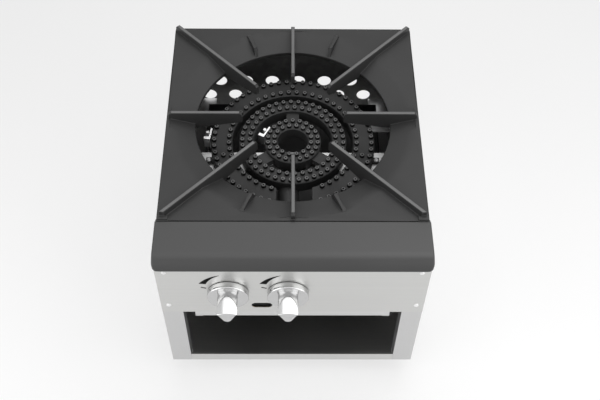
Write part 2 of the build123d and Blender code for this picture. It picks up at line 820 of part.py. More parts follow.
def inner_burner():
    """Inner and middle rings, joined by three bridges, with their mixing tube."""
    part = cast_ring(inner_ring) + cast_ring(middle_ring)
    bridge_top = burner_top - bridge_drop
    bridge = block((inner_ring[1] - bridge_lap, middle_ring[0] + bridge_lap),
                   (-bridge_width / 2, bridge_width / 2), (bridge_top - bridge_height, bridge_top))
    part += [Rot(0, 0, angle) * bridge for angle in bridge_angles]
    middle = sum(middle_ring) / 2
    tube, bore = mixer(control_x[1], -middle)
    foot_x = sqrt(middle ** 2 - bar_mid_y ** 2)
    part += [tube, burner_foot(foot_x, bar_mid_y), burner_foot(-foot_x, bar_mid_y)]
    part += nub_rows(inner_ring, nub_pitch_inner) + nub_rows(middle_ring, nub_pitch_middle)
    return part - bore


def outer_burner():
    """Outer ring, open at the front, with its mixing tube and two screwed ears."""
    part = cast_ring(outer_ring)
    part -= block((gap_left, gap_right), (-outer_ring[1] - PAST, 0), (0, top_height))
    middle = sum(outer_ring) / 2
    tube, bore = mixer(control_x[0], -sqrt(middle ** 2 - control_x[0] ** 2) + mixer_overrun)
    foot_x = sqrt(middle ** 2 - bar_mid_y ** 2)
    feet = [(foot_x, bar_mid_y), (-foot_x, bar_mid_y), ring_rest_foot()]
    part += [tube] + [burner_foot(*place) for place in feet]
    for side in (-1, 1):
        part += block(sorted((side * middle, side * (outer_ring[1] + ear_length))),
                      (bar_mid_y - ear_width / 2, bar_mid_y + ear_width / 2),
                      (bar_top, bar_top + ear_height))

    def clear_of_gap(x, y):
        return y > 0 or not gap_left - nub_radius < x < gap_right + nub_radius

    part += nub_rows(outer_ring, nub_pitch_outer, clear_of_gap)
    part += [port_nub(middle * cos(radians(a)), middle * sin(radians(a))) for a in single_nub_angles]
    for place in burner_screw_places():
        part -= screw_hole(place, DOWN, burner_screw_grip)
    return part - bore


def air_shutter(x):
    """Windowed cap that turns on the mouth of a mixing tube."""
    inner = mouth_radius + touch_gap
    outer = inner + shutter_sheet
    face = mouth_y - fit_gap - shutter_sheet
    cup = turned([(0, 0), (outer, 0), (outer, shutter_rim), (inner, shutter_rim),
                  (inner, shutter_sheet), (0, shutter_sheet)], (x, face, control_z), Y)
    tab_low = control_z + inner
    tab = block((x - shutter_tab_width / 2, x + shutter_tab_width / 2), (face, face + shutter_sheet),
                (tab_low, tab_low + shutter_tab_rise))
    return cup + tab - air_windows(x, face, shutter_sheet)


# ---------------------------------------------------------------- gas train
def level_pipe(xs, radius):
    """Round bar along the manifold's axis."""
    return rod((xs[0], manifold_y, manifold_z), (xs[1], manifold_y, manifold_z), radius)


def gas_manifold():
    """Pipe across the front with a boss under each valve."""
    end = supply_x - elbow_radius
    part = level_pipe((manifold_left, end), pipe_radius)
    for x in control_x:
        part += rod((x, manifold_y, manifold_z), (x, manifold_y, boss_top), boss_radius)
    return part - level_pipe((manifold_left - PAST, end + PAST), pipe_bore)


def manifold_plug():
    """Square-headed plug in the closed end of the manifold."""
    head_x = manifold_left - plug_collar
    part = level_pipe((manifold_left, manifold_left + plug_length), pipe_bore - touch_gap)
    part += level_pipe((head_x, manifold_left), pipe_radius)
    return part + block((head_x - plug_head, head_x),
                        (manifold_y - plug_head_half, manifold_y + plug_head_half),
                        (manifold_z - plug_head_half, manifold_z + plug_head_half))


def manifold_elbow():
    """Elbow with a collar over each pipe end."""
    x, y = supply_x - elbow_radius, manifold_y + elbow_radius
    wall, seat = pipe_radius + elbow_wall, pipe_radius + touch_gap

    def bend(radius):
        ring = Plane(origin=(x, manifold_y, manifold_z), z_dir=X) * Circle(radius)
        return revolve(ring, Axis((x, y, manifold_z), Z), 90)

    def rear_pipe(length, radius):
        return rod((supply_x, y, manifold_z), (supply_x, y + length, manifold_z), radius)

    collars = level_pipe((x - collar_length, x), wall) + rear_pipe(collar_length, wall)
    seats = level_pipe((x - collar_length - PAST, x), seat) + rear_pipe(collar_length + PAST, seat)
    return bend(wall) - bend(pipe_bore) + (collars - seats)


def supply_pipe():
    """Pipe from the elbow through the back panel to the threaded inlet."""
    start_y = manifold_y + elbow_radius
    run = inlet_end - start_y
    shoulder = run - inlet_thread_length
    return turned([(pipe_bore, 0), (pipe_radius, 0), (pipe_radius, shoulder),
                   (inlet_thread_radius, shoulder), (inlet_thread_radius, run - inlet_chamfer),
                   (inlet_thread_radius - inlet_chamfer, run), (pipe_bore, run)],
                  (supply_x, start_y, manifold_z), Y)


def manifold_hanger(x):
    """Upright strap from the cross rail, round the manifold."""
    neck_front = grate_front - cross_rail_depth / 2 + bar_sheet
    neck_back = neck_front + hanger_neck
    top = body_top - bar_sheet
    neck_low = top - hanger_neck_drop
    low = manifold_z - pipe_radius - hanger_margin
    front = manifold_y - pipe_radius - hanger_margin
    back = front + hanger_width
    outline = [(front, low), (back, low), (back, neck_low - hanger_back_slope),
               (neck_back, neck_low), (neck_back, top), (neck_front, top), (neck_front, neck_low),
               (front, neck_low - hanger_front_slope)]
    part = across_x(outline, x - hanger_sheet / 2, x + hanger_sheet / 2)
    return part - level_pipe((x - hanger_sheet, x + hanger_sheet), pipe_radius + touch_gap)


def gas_valve(x):
    """Tapered plug valve: bonnet, barrel and the branch that stands on the manifold's boss."""
    part = turned([(0, 0), (bonnet_radius, 0), (bonnet_radius, bonnet_length),
                   (valve_radius, bonnet_length + bonnet_taper),
                   (valve_radius, valve_length - valve_taper_length),
                   (valve_tail_radius, valve_length), (0, valve_length)], (x, valve_front, control_z), Y)
    part += rod((x, manifold_y, control_z), (x, manifold_y, boss_top), branch_radius)
    return part - rod((x, valve_front - PAST, control_z), (x, valve_front + stem_depth, control_z),
                      stem_radius + touch_gap)


def orifice_spud(x):
    """Hexagonal spud on the valve's outlet, its nose inside the mouth of the mixing tube."""
    plane = Plane(origin=(x, valve_back, control_z), x_dir=X, z_dir=Y)
    part = extrude(plane * RegularPolygon(spud_hex_radius, 6), spud_hex_length)
    return part + rod((x, valve_back, control_z), (x, spud_end, control_z), spud_radius)


def valve_stem(x):
    """Stem with a flat on its outer end, from the valve to inside the knob."""
    front = knob_front + knob_wall + stem_end_gap
    flat_end = panel_y - knob_gap
    part = rod((x, front, control_z), (x, valve_front + stem_depth - stem_end_gap, control_z),
               stem_radius)
    return part - block((x - stem_radius, x + stem_radius), (front - PAST, flat_end),
                        (control_z + stem_flat, control_z + 2 * stem_radius))


def grip_section(crown, shoulder, tip):
    """Section of the grip: arched crown, straight flanks and a blunt tip below."""
    w, a = grip_width / 2, grip_tip_half
    outline = ThreePointArc((-w, shoulder), (0, crown), (w, shoulder))
    outline += Line((w, shoulder), (a, grip_tip_bow - tip))
    outline += ThreePointArc((a, grip_tip_bow - tip), (0, -tip), (-a, grip_tip_bow - tip))
    outline += Line((-a, grip_tip_bow - tip), (-w, shoulder))
    return make_face(outline)


def knob(x):
    """Skirted knob: scooped skirt and a round-backed grip that narrows to a pointer below."""
    back = panel_y - knob_gap
    grip_start = back - knob_skirt + grip_sink
    r, w = knob_skirt_radius, grip_width / 2
    skirt = turned([(0, 0), (r - skirt_back_edge, 0), (r, 2 * skirt_back_edge),
                    (r, knob_skirt - skirt_edge), (r - skirt_edge, knob_skirt), (0, knob_skirt)],
                   (x, back, control_z), FORWARD)
    plane = Plane(origin=(x, grip_start, control_z), x_dir=X, z_dir=FORWARD)
    scoop = Circle(w + scoop_width) - Circle(w)
    scoop -= Pos(0, scoop_floor - r) * Rectangle(4 * r, 2 * r)
    skirt -= extrude(plane * scoop, scoop_depth, both=True)
    ends = [Pos(0, 0, reach) * grip_section(*shape) for reach, shape in
            zip((0, grip_start - knob_front), zip(grip_crowns, grip_shoulders, grip_tips))]
    part = skirt + plane * loft(ends, ruled=True)
    part = fillet(part.faces().sort_by(Axis.Y)[0].edges(), grip_edge)
    bore_end = knob_front + knob_wall
    bore = rod((x, back + PAST, control_z), (x, bore_end, control_z), stem_radius + touch_gap)
    flat = block((x - 2 * stem_radius, x + 2 * stem_radius), (bore_end, back - knob_flat_start),
                 (control_z + stem_flat + touch_gap, control_z + 2 * stem_radius))
    return part - (bore - flat)


# ---------------------------------------------------------------- pilots
def pilot_valve(x):
    """Small valve in the manifold's front, its outlet pointing down."""
    front, z = pilot_valve_front, manifold_z
    outlet_y = front + pilot_outlet_inset
    part = rod((x, front, z), (x, manifold_y, z), pilot_valve_radius)
    part += rod((x, outlet_y, z), (x, outlet_y, z - pilot_outlet_drop),
                pilot_tube_radius + pilot_outlet_wall)
    part -= level_pipe((x - 2 * pilot_valve_radius, x + 2 * pilot_valve_radius), pipe_radius)
    return part - rod((x, front - PAST, z), (x, front + pilot_bore_depth, z),
                      pilot_screw_radius + touch_gap)


def pilot_screw(x):
    """Slotted adjusting screw in the pilot valve's front."""
    front, z = pilot_valve_front - pilot_screw_proud, manifold_z
    slot = pilot_screw_slot
    part = rod((x, front, z), (x, pilot_valve_front + pilot_bore_depth - stem_end_gap, z),
               pilot_screw_radius)
    return part - block((x - 2 * pilot_screw_radius, x + 2 * pilot_screw_radius),
                        (front - PAST, front + slot), (z - slot / 2, z + slot / 2))


def pilot_frame(i):
    """Frame at a pilot bracket's middle, on the bar's level: X outwards, Y along the ring."""
    return Rot(0, 0, pilot_angle[i]) * Pos(pilot_radius[i], 0, bar_top)


def pilot_tip(i):
    """Where a pilot's tip stands, in plan."""
    point = (pilot_frame(i) * Pos(*pilot_tip_shift, 0)).position
    return point.X, point.Y


def pilot_tube(i):
    """Tube from the pilot valve, below the burners and up to its pilot."""
    x = pilot_valve_x[i]
    tip_x, tip_y = pilot_tip(i)
    start_y = pilot_valve_front + pilot_outlet_inset
    z = top_height - tube_drop
    turn_y = manifold_y + tube_run
    points = [(x, start_y, manifold_z - pilot_outlet_drop), (x, start_y, z), (x, turn_y, z),
              (tip_x, turn_y + abs(tip_x - x) + tube_straight, z), (tip_x, tip_y, z),
              (tip_x, tip_y, top_height - pilot_tip_drop - pilot_tip_height)]
    path = FilletPolyline(*points, radius=[tube_outlet_bend, tube_bend, tube_bend, tube_bend])
    section = Plane(origin=points[0], z_dir=DOWN) * Circle(pilot_tube_radius)
    return sweep(section, path=path)


def pilot_burner(i):
    """Pilot tip on the end of its tube."""
    r = pilot_tip_radius
    return turned([(0, 0), (r, 0), (r, pilot_tip_straight), (pilot_tip_top_radius, pilot_tip_height),
                   (0, pilot_tip_height)],
                  (*pilot_tip(i), top_height - pilot_tip_drop - pilot_tip_height), Z)


def pilot_bracket(i):
    """Strip from the middle bar to a pilot, its edges turned up and over as a hood."""
    w, length = bracket_width / 2, bracket_length / 2
    hood = top_height - pilot_tip_drop + hood_rise - bar_top
    local = block((-w, w), (-length, length), (0, bracket_sheet))
    local += block((-w, -w + bracket_sheet), (-length, length), (0, hood))
    local += block((-w, w), (length - bracket_sheet, length), (0, hood))
    local += block((-w, -w + hood_lips[0]), (-length, length), (hood - bracket_sheet, hood))
    local += block((-w, w), (length - hood_lips[1], length), (hood - bracket_sheet, hood))
    part = pilot_frame(i) * local
    centre = pilot_frame(i).position
    foot_x = bracket_foot_x[i]
    front, bend_y = bar_mid_y + bracket_foot_front[i], bar_back_y + bracket_bend_gap
    plan = [(foot_x - w, front), (foot_x + w, front), (foot_x + w, bend_y), (centre.X + w, centre.Y),
            (centre.X - w, centre.Y), (foot_x - w, bend_y)]
    part += up_z(plan, bar_top, bar_top + bracket_sheet)
    tip = pilot_tip(i)
    return part - rod((*tip, bar_top - PAST), (*tip, bar_top + bracket_sheet + PAST),
                      pilot_tube_radius + touch_gap)


# ---------------------------------------------------------------- feet
foot_x = half - foot_inset_x
foot_front_y, foot_rear_y = post_y + foot_inset_y, inner_back - foot_inset_y
foot_places = {
    "front_left": (-foot_x, foot_front_y),
    "front_right": (foot_x, foot_front_y),
    "rear_left": (-foot_x, foot_rear_y),
    "rear_right": (foot_x, foot_rear_y),
}


def leg_socket(x, y):
    """Plate under a corner of the cabinet with a threaded boss."""
    size = socket_plate_size / 2
    part = block((x - size, x + size), (y - size, y + size), (foot_height - socket_plate, foot_height))
    part += rod((x, y, foot_neck_height), (x, y, foot_height), socket_radius)
    return part - rod((x, y, 0), (x, y, foot_height + PAST), foot_stud_radius + touch_gap)


def foot(x, y):
    """Screw foot: flat pad, tapered neck and stud."""
    low, r = foot_neck_height - fit_gap, foot_pad_radius
    stud_top = foot_height - foot_stud_end
    return turned([(0, 0), (r - foot_pad_edge, 0), (r, foot_pad_edge), (r, foot_pad_height),
                   (foot_neck_radius, low), (foot_stud_radius, low), (foot_stud_radius, stud_top),
                   (0, stud_top)], (x, y, 0), Z)


# ---------------------------------------------------------------- all pieces
def screws(places, direction, grip=screw_grip):
    """Screws at the given places and at their mirror images across the middle."""
    return [screw((x, y, z), (copysign(1, x) * direction[0],) + direction[1:], grip)
            for x, y, z in both_sides(places)]


def pieces():
    """Every node's name and its solid, or its list of solids."""
    right_runner = right_tray_runner()
    found = {
        "right_side_panel": right_side_panel(),
        "left_side_panel": mirror(side_panel(), Plane.YZ),
        "back_panel": back_panel(),
        "control_panel": control_panel(),
        "front_ledge": front_ledge(),
        "front_cross_rail": front_cross_rail(),
        "bottom_shelf": bottom_shelf(),
        "crumb_tray": crumb_tray(),
        "right_tray_runner": right_runner,
        "left_tray_runner": mirror(right_runner, Plane.YZ),
        "burner_cross_bar": burner_cross_bar(),
        "mixer_cross_bar": mixer_cross_bar(),
        "ring_rest": ring_rest(),
        "top_grate": top_grate(),
        "outer_burner": outer_burner(),
        "inner_burner": inner_burner(),
        "gas_manifold": gas_manifold(),
        "manifold_plug": manifold_plug(),
        "manifold_elbow": manifold_elbow(),
        "supply_pipe": supply_pipe(),
        "manifold_hangers": [manifold_hanger(x) for x in hanger_x],
        "orifice_spuds": [orifice_spud(x) for x in control_x],
        "leg_sockets": [leg_socket(x, y) for x, y in foot_places.values()],
        "panel_screws": screws(panel_screw_places, Y),
        "ledge_screws": screws(ledge_screw_places, LEFTWARD, ledge_screw_grip),
        "back_screws": screws(back_screw_places, FORWARD),
        "bar_screws": screws(bar_screw_places + mixer_bar_screw_places, LEFTWARD),
        "rest_screws": [screw(place, LEFTWARD) for place in rest_screw_places],
        "rail_screws": screws(rail_screw_places, LEFTWARD),
        "runner_screws": screws(runner_screw_places, LEFTWARD),
        "shelf_screws": screws(shelf_screw_places, DOWN, shelf_screw_grip),
        "burner_screws": [screw(place, DOWN, burner_screw_grip) for place in burner_screw_places()],
    }
    for i, name in enumerate(("outer", "inner")):
        x = control_x[i]
        found[name + "_gas_valve"] = gas_valve(x)
        found[name + "_valve_stem"] = valve_stem(x)
        found[name + "_knob"] = knob(x)
        found[name + "_air_shutter"] = air_shutter(x)
        found[name + "_pilot_valve"] = pilot_valve(pilot_valve_x[i])
        found[name + "_pilot_screw"] = pilot_screw(pilot_valve_x[i])
        found[name + "_pilot_tube"] = pilot_tube(i)
        found[name + "_pilot_burner"] = pilot_burner(i)
        found[name + "_pilot_bracket"] = pilot_bracket(i)
    for name, (x, y) in foot_places.items():
        found[name + "_foot"] = foot(x, y)
    return found


def main():
    """Write one STEP file for each node."""
    os.makedirs("parts", exist_ok=True)
    for name, shape in pieces().items():
        group = shape if isinstance(shape, list) else [shape]
        solids = [Pos(0, -origin_y, 0) * solid for member in group for solid in member.solids()]
        export_step(solids[0] if len(solids) == 1 else Compound(solids), f"parts/{name}.step")


main()
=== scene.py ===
from math import cos, pi, radians, sin

import bmesh
import bpy
import numpy as np
from bpy.props import FloatProperty, FloatVectorProperty, PointerProperty
from mathutils import Matrix, Vector


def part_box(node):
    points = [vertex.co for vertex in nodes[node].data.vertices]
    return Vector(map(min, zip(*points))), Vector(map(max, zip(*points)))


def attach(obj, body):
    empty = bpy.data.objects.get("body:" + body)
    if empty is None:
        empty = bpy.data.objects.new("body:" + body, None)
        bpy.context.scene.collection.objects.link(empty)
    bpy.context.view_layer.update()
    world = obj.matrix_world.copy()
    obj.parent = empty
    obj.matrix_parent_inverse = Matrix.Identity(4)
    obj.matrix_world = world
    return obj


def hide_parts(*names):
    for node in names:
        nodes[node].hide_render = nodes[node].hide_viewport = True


bl_info = {
    "name": "Stock Pot Range",
    "version": (1, 0, 0),
    "blender": (4, 5, 0),
    "location": "3D View > Sidebar > Range",
    "description": "Finishes, ported burner caps, control marks and stage for a low stock pot range",
    "category": "Object",
}

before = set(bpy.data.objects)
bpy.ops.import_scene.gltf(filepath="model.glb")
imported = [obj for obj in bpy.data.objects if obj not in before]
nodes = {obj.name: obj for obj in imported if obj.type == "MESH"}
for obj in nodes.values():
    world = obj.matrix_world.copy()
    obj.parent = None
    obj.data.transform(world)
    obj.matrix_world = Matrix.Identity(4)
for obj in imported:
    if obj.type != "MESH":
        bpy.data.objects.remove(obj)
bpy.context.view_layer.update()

MM = 0.001
burner_axis = (0.0, 45.75 * MM)          # where the burner stands, in plan
grate_low, grate_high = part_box("top_grate")
panel_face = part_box("control_panel")[0].y
nub_height = 5.0 * MM
join_within = 0.001 * MM                 # corners of a mesh nearer than this become one
mark_clearance = 0.02 * MM               # printed film to the panel's face
ring_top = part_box("outer_burner")[1].z - nub_height


# ------------------------------------------------------------------ settings
def length(name, description, default):
    """A length in metres that the sidebar shows."""
    return FloatProperty(name=name, description=description, default=default, unit="LENGTH",
                         precision=4)


def colour(name, description, default):
    """A linear colour that the sidebar shows."""
    return FloatVectorProperty(name=name, description=description, default=default, size=3,
                               subtype="COLOR", min=0.0, max=1.0)


def share(name, description, default):
    """A number from 0 to 1 that the sidebar shows."""
    return FloatProperty(name=name, description=description, default=default, min=0.0, max=1.0,
                         subtype="FACTOR")


class RangeSizes(bpy.types.PropertyGroup):
    """Sizes of the pieces that are made here."""
    port_radius: length("Port radius", "Hole in the top of each burner nub", 1.7 * MM)
    cap_radius: length("Cap radius", "Foot of each burner nub", 4.6 * MM)
    cap_rise: length("Cap rise", "Top of the cap above the nub", 0.8 * MM)
    grate_round: length("Grate rounding", "Width of the rounding on the grate's edges", 0.9 * MM)
    ledge_round: length("Ledge rounding", "Width of the rounding on the ledge's edges", 0.7 * MM)
    knob_skirt: length("Knob skirt", "Thickness of the knob's skirt", 11.5 * MM)
    knob_edge: length("Knob edge", "Rounding of the skirt's and the grip's front edges", 2.2 * MM)
    knob_dish: length("Knob dish", "Depth of the hollows beside the grip", 2.5 * MM)
    grip_half: length("Grip half width", "Knob's axis to the grip's shoulder", 17.8 * MM)
    grip_crown: length("Grip crown", "Knob's axis to the top of the grip at the skirt", 17.8 * MM)
    grip_facet: length("Grip facet", "Height of the sloping facet's front end", 12.0 * MM)
    grip_tip: length("Grip tip", "Knob's axis to the grip's lower end at the front", 14.5 * MM)
    tip_half: length("Tip half width", "Half the width of the grip's blunt tip", 5.5 * MM)
    mark_radius: length("Mark radius", "Outer edge of the wedge, from the knob's axis", 55.5 * MM)
    mark_width: length("Mark width", "Widest part of the printed wedge", 10.0 * MM)
    mark_film: length("Mark film", "Thickness of the printed marks", 0.08 * MM)
    tick_length: length("Tick length", "Printed tick beside each knob", 9.5 * MM)
    tick_width: length("Tick width", "Width of the printed tick", 2.8 * MM)


class RangeColours(bpy.types.PropertyGroup):
    """Colours of the finishes."""
    stainless: colour("Stainless", "Control panel and shelf", (0.60, 0.60, 0.59))
    bright_steel: colour("Bright steel", "Side panels, bars and tray runners", (0.58, 0.58, 0.58))
    zinc: colour("Zinc", "Back panel, rail, hangers and sockets", (0.36, 0.36, 0.36))
    tray: colour("Tray", "Crumb tray", (0.45, 0.45, 0.45))
    grate: colour("Grate", "Painted top casting", (0.029, 0.029, 0.029))
    burner: colour("Burner", "Burner castings", (0.024, 0.024, 0.024))
    enamel: colour("Enamel", "Front ledge", (0.036, 0.036, 0.036))
    chrome: colour("Chrome", "Knobs", (0.56, 0.56, 0.56))
    brass: colour("Brass", "Valves and spuds", (0.62, 0.43, 0.17))
    pipe: colour("Pipe", "Black pipe", (0.030, 0.030, 0.032))
    # this black is also the painted shade inside the burner ports
    print_ink: colour("Print", "Printed control marks", (0.006, 0.006, 0.006))


class RangeStage(bpy.types.PropertyGroup):
    """Light and floor."""
    sky: FloatProperty(name="Sky", description="Strength of the soft light all round", default=0.34)
    lamp: FloatProperty(name="Lamp", description="Power of the large lamp overhead", default=18.0,
                        unit="POWER")
    lamp_width: length("Lamp width", "Side of the large lamp", 2.3)
    near_lamp: FloatProperty(name="Near lamp", description="Power of the lamp nearer the right",
                             default=1.0, unit="POWER")
    near_width: length("Near lamp width", "Side of the nearer lamp", 0.6)
    fill: FloatProperty(name="Fill", description="Power of each of the two low lamps in front",
                        default=14.0, unit="POWER")
    fill_width: length("Fill width", "Side of each low lamp", 1.6)
    floor_white: share("Floor white", "How much of the floor's own white is seen", 0.50)
    floor_lit: share("Floor lit", "How much of its lit paint is seen besides", 0.60)


# ------------------------------------------------------------------ shader expressions
class Wire:
    """A shader socket that can be used in a Python expression."""

    def __init__(self, shop, socket):
        self.shop, self.socket = shop, socket

    def _math(self, operation, first, second):
        return self.shop.node("Math", {"operation": operation}, {0: first, 1: second})

    def __add__(self, other):
        return self._math("ADD", self, other)

    __radd__ = __add__

    def __sub__(self, other):
        return self._math("SUBTRACT", self, other)

    def __rsub__(self, other):
        return self._math("SUBTRACT", other, self)

    def __mul__(self, other):
        return self._math("MULTIPLY", self, other)

    __rmul__ = __mul__

    def above(self, edge, width):
        """0 below edge, 1 above edge + width, smooth between."""
        return self.shop.node("MapRange", {"interpolation_type": "SMOOTHSTEP"},
                              {"Value": self, "From Min": edge, "From Max": edge + width})

    def below(self, edge, width):
        """1 below edge - width, 0 above edge."""
        return 1 - self.above(edge - width, width)

    def spread(self, low, high):
        """0..1 stretched to low..high."""
        return self * (high - low) + low


class Workshop:
    """Makes the nodes of one material."""

    def __init__(self, name, world=None):
        self.material = world or bpy.data.materials.new(name)
        self.material.use_nodes = True
        self.tree = self.material.node_tree
        self.tree.nodes.clear()
        place = self.node("TexCoord", output="Generated" if world else "Object")
        self.place = place
        parts = self.tree.nodes.new("ShaderNodeSeparateXYZ")
        self.tree.links.new(place.socket, parts.inputs[0])
        self.x, self.y, self.z = [Wire(self, parts.outputs[i]) for i in range(3)]

    def node(self, kind, settings=None, values=None, output=0):
        """Adds a node of that kind: settings first, then the values or links of its sockets."""
        made = self.tree.nodes.new("ShaderNode" + kind)
        for key, value in (settings or {}).items():
            setattr(made, key, value)
        for key, value in (values or {}).items():
            if isinstance(value, Wire):
                self.tree.links.new(value.socket, made.inputs[key])
            else:
                made.inputs[key].default_value = value
        return Wire(self, made.outputs[output]) if made.outputs else None

    def stretched(self, x, y, z):
        """Object coordinates, each multiplied by its own number."""
        return self.node("VectorMath", {"operation": "MULTIPLY"}, {0: self.place, 1: (x, y, z)})

    def noise(self, scale, detail=3.0, roughness=0.55, place=None):
        """Cloudy values from 0 to 1."""
        return self.node("TexNoise", values={"Vector": place or self.place, "Scale": scale,
                                             "Detail": detail, "Roughness": roughness})

    def blend(self, factor, first, second):
        """Colour from first to second."""
        return self.node("Mix", {"data_type": "RGBA"},
                         {0: factor, 6: rgba(first), 7: rgba(second)}, output=2)

    def bumps(self, height, distance, strength=1.0):
        """Normals of a surface with that height, in units of distance."""
        return self.node("Bump", values={"Height": height, "Distance": distance,
                                         "Strength": strength})

    def finish(self, **values):
        """Ends the material in one Principled shader."""
        names = {key.replace("_", " ").title(): value for key, value in values.items()}
        names = {key.replace("Ior", "IOR"): value for key, value in names.items()}
        if "Base Color" in names:
            names["Base Color"] = rgba(names["Base Color"])
        shader = self.node("BsdfPrincipled", values=names)
        self.node("OutputMaterial", values={"Surface": shader})
        return self.material


def rgba(value):
    """A colour with its fourth number; links pass through."""
    return value if isinstance(value, Wire) else (*value[:3], 1.0)


def scaled(value, share_of):
    """A colour made darker or lighter."""
    return tuple(min(1.0, part * share_of) for part in value[:3])


# ------------------------------------------------------------------ finishes
def brushed_sheet(name, tint, grain="X", rough=0.30):
    """Sheet steel with fine grain along one axis and faint cloudiness."""
    shop = Workshop(name)
    along, across = 3.0, 900.0
    axes = {"X": (along, across, across), "Y": (across, along, across)}
    streaks = shop.noise(1.0, 4.0, 0.7, shop.stretched(*axes[grain]))
    clouds = shop.noise(9.0, 2.0)
    tone = shop.blend(streaks, scaled(tint, 0.88), scaled(tint, 1.06))
    rough_now = streaks.spread(rough - 0.05, rough + 0.07) + clouds.spread(-0.03, 0.03)
    return shop.finish(base_color=tone, roughness=rough_now, metallic=1.0,
                       normal=shop.bumps(streaks, 0.03 * MM, 0.6))


def zinc_sheet(name, tint):
    """Galvanised sheet with flat crystals."""
    shop = Workshop(name)
    crystals = shop.node("TexVoronoi", values={"Vector": shop.place, "Scale": 90.0}, output="Color")
    grey = shop.node("RGBToBW", values={0: crystals})
    fine = shop.noise(350.0, 2.0)
    return shop.finish(
        base_color=shop.blend(grey, scaled(tint, 0.82), scaled(tint, 1.15)),
        roughness=grey.spread(0.36, 0.48) + fine.spread(-0.02, 0.02),
        metallic=0.9,
        normal=shop.bumps(fine, 0.02 * MM))


def casting(name, tint, grit=0.10, rough=0.50, sheen=0.5, highlight_above=None):
    """Painted sand casting: fine grit, broad cloudiness, painted highlight above a height."""
    shop = Workshop(name)
    sand = shop.noise(700.0, 3.0, 0.65)
    clouds = shop.noise(14.0, 3.0)
    tone = shop.blend(clouds, scaled(tint, 0.82), scaled(tint, 1.20))
    rough_now = sand.spread(rough - 0.05, rough + 0.08)
    if highlight_above is not None:
        # painted highlight: above that height the tint is six times lighter and a little smoother, as if
        # lit
        painted_highlight = shop.z.above(highlight_above, 0.4 * MM) * clouds.spread(0.55, 1.0)
        tone = shop.blend(painted_highlight, tone, scaled(tint, 6.0))
        rough_now = rough_now - painted_highlight * 0.12
    return shop.finish(base_color=tone, roughness=rough_now, metallic=0.0,
                       specular_ior_level=sheen, normal=shop.bumps(sand, grit * MM, 0.5))


def enamel_sheet(name, tint):
    """Satin black enamel on sheet: almost flat, with faint orange peel and dust."""
    shop = Workshop(name)
    peel = shop.noise(260.0, 2.0)
    clouds = shop.noise(7.0, 4.0)
    dust = shop.noise(1500.0, 1.0).above(0.72, 0.06)
    tone = shop.blend(clouds, scaled(tint, 0.90), scaled(tint, 1.12))
    return shop.finish(
        base_color=shop.blend(dust * 0.25, tone, scaled(tint, 3.0)),
        roughness=clouds.spread(0.34, 0.42) + dust * 0.1,
        metallic=0.0,
        normal=shop.bumps(peel, 0.04 * MM, 0.35))


def polished_plate(name, tint):
    """Chrome plating with faint polishing haze."""
    shop = Workshop(name)
    haze = shop.noise(60.0, 3.0)
    return shop.finish(
        base_color=shop.blend(haze, scaled(tint, 0.95), tint),
        roughness=haze.spread(0.14, 0.22),
        metallic=1.0,
        normal=shop.bumps(shop.noise(120.0, 2.0), 0.02 * MM, 0.4))


def machined_metal(name, tint, rough=0.28, metal=1.0):
    """Turned metal: fine rings round the Y axis and slight tarnish."""
    shop = Workshop(name)
    rings = shop.noise(1.0, 2.0, 0.6, shop.stretched(60.0, 1600.0, 60.0))
    tarnish = shop.noise(45.0, 3.0)
    return shop.finish(
        base_color=shop.blend(tarnish, scaled(tint, 0.75), scaled(tint, 1.1)),
        roughness=rings.spread(rough - 0.06, rough + 0.08),
        metallic=metal,
        normal=shop.bumps(rings, 0.02 * MM, 0.6))


def black_pipe(name, tint, thread_from):
    """Lacquered pipe with mill scale, and a thread on the end behind thread_from."""
    shop = Workshop(name)
    scale = shop.noise(180.0, 4.0)
    turns = shop.node("TexWave", {"bands_direction": "Y", "wave_profile": "TRI"},
                      {"Vector": shop.place, "Scale": 27.5})
    thread = shop.y.above(thread_from, 0.5 * MM)
    height = scale * 0.05 + turns * thread
    return shop.finish(
        base_color=shop.blend(thread * 0.5 + scale * 0.2, tint, (0.30, 0.30, 0.30)),
        roughness=scale.spread(0.34, 0.5),
        metallic=0.4,
        normal=shop.bumps(height, 0.6 * MM, 0.8))


def shaded_tray_metal(name, tint, front_y):
    """Tray sheet: its tint along its front, painted shade on the rest."""
    shop = Workshop(name)
    streaks = shop.noise(1.0, 4.0, 0.7, shop.stretched(4.0, 700.0, 700.0))
    shade_clouds = shop.noise(16.0, 4.0)
    unshaded_front = shop.y.below(front_y + 1.5 * MM, 1.0 * MM)
    # painted shade: past the front strip the tray is 0.10 to 0.30 of its tint, for the shade below the
    # burner
    painted_shade = shop.blend(shade_clouds, scaled(tint, 0.10), scaled(tint, 0.30))
    return shop.finish(
        base_color=shop.blend(unshaded_front, painted_shade, scaled(tint, 1.35)),
        roughness=streaks.spread(0.34, 0.46),
        metallic=0.9,
        normal=shop.bumps(streaks, 0.02 * MM, 0.5))


def flat_ink(name, tint):
    """Screen-printed ink."""
    shop = Workshop(name)
    mottle = shop.noise(900.0, 2.0)
    return shop.finish(base_color=shop.blend(mottle, tint, scaled(tint, 2.0)),
                       roughness=mottle.spread(0.7, 0.85), metallic=0.0, specular_ior_level=0.05)


def coat(material, *names):
    """Gives the material to those CAD nodes."""
    for name in names:
        mesh = nodes[name].data
        mesh.materials.clear()
        mesh.materials.append(material)


# ------------------------------------------------------------------ surfaces
def sheet_of_quads(rows, columns, wrap=True):
    """Faces of a grid of points numbered row by row; wrap joins the last column to the first."""
    row, column = np.meshgrid(np.arange(rows - 1), np.arange(columns if wrap else columns - 1),
                              indexing="ij")
    after = (column + 1) % columns
    corners = [row * columns + column, row * columns + after,
               (row + 1) * columns + after, (row + 1) * columns + column]
    return np.stack(corners, axis=-1).reshape(-1, 4)


